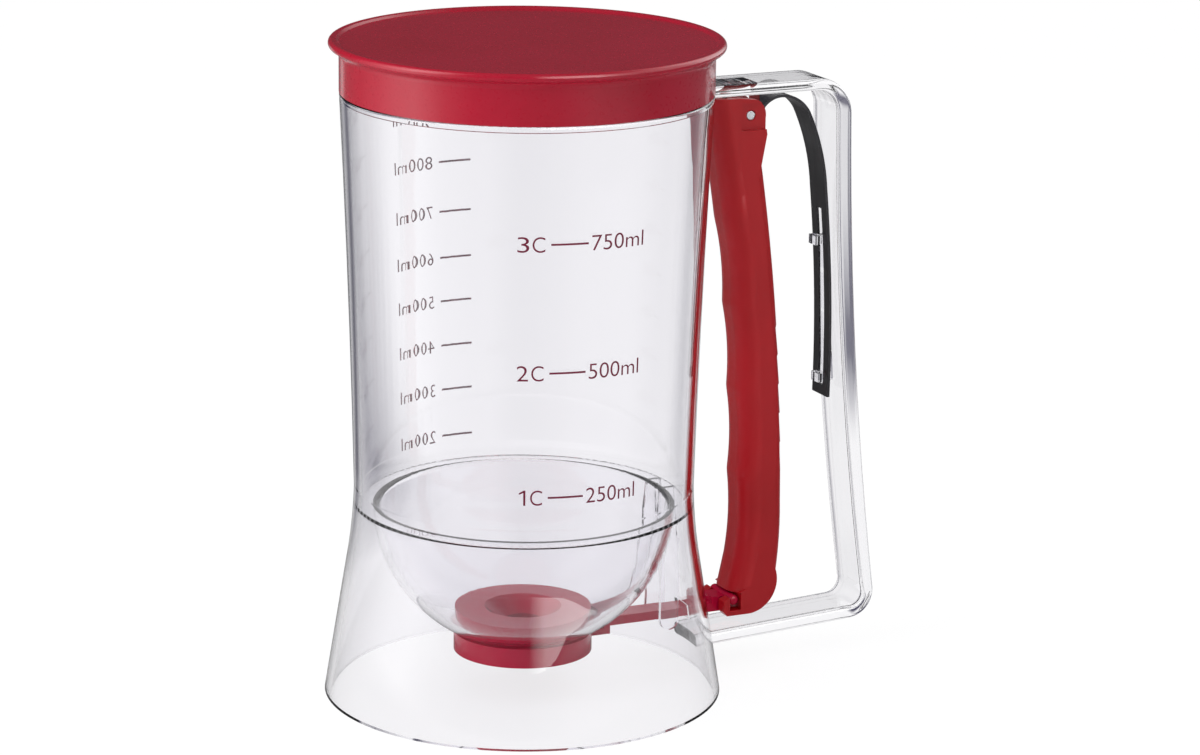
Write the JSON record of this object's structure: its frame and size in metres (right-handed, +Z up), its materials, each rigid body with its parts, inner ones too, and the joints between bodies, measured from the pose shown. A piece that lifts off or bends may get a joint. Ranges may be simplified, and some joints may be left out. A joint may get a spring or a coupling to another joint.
{
  "type": "pancake batter dispenser",
  "caption": "Clear hand-held cup with a round bowl bottom on a flared skirt, a press-on red lid, and a D-shaped handle whose sprung trigger slides open a valve under the bowl.",
  "frame": {"origin": "on the cup's axis, on the plane that the skirt's foot stands on", "axes": "+Z up along the cup's axis, +X from the cup towards its handle"},
  "size_m": [0.166, 0.1126, 0.187],
  "materials": {
    "clear_plastic": "clear, glossy moulded plastic",
    "lid_red": "glossy red moulded plastic with a fine matte top",
    "trigger_red": "satin red moulded plastic",
    "valve_red": "glossy crimson moulded plastic",
    "spring_black": "black satin coated spring steel",
    "pin_steel": "bright steel",
    "seal_soft": "soft translucent silicone"
  },
  "bodies": {
    "dispenser_body": {"container": "clear_plastic", "bowl": "clear_plastic", "base_skirt": "clear_plastic", "arm_guide": "clear_plastic", "upper_handle_bar": "clear_plastic", "grip_bar": "clear_plastic", "lower_handle_bar": "clear_plastic", "hinge_lug": "clear_plastic", "spring_rib": "clear_plastic", "hinge_pin": "pin_steel", "leaf_spring": "spring_black", "valve_seat": "valve_red", "valve_gasket": "seal_soft", "valve_cap": "valve_red"},
    "trigger": {"trigger": "trigger_red"},
    "valve_slide": {"valve_arm": "valve_red", "valve_shutter": "valve_red"},
    "lid": {"lid_cap": "lid_red", "lid_seal": "seal_soft"}
  },
  "joints": [
    {"name": "trigger_squeeze", "type": "hinge", "parent": "dispenser_body", "child": "trigger", "pos_m": [0.0662, 0, 0.1619], "axis": [0, -1, 0], "range_deg": [0, 5.5], "stiffness_Nm_per_rad": 3, "springref_deg": -2.86, "deforming": ["leaf_spring"]},
    {"name": "valve_slide", "type": "slide", "parent": "dispenser_body", "child": "valve_slide", "axis": [1, 0, 0], "range_m": [0, 0.0138]},
    {"name": "lid_lift", "type": "slide", "parent": "dispenser_body", "child": "lid", "axis": [0, 0, 1], "range_m": [0, 0.03]}
  ],
  "couplings": [
    {"joint": "valve_slide", "follows": "trigger_squeeze", "m_per_rad": 0.1427}
  ]
}
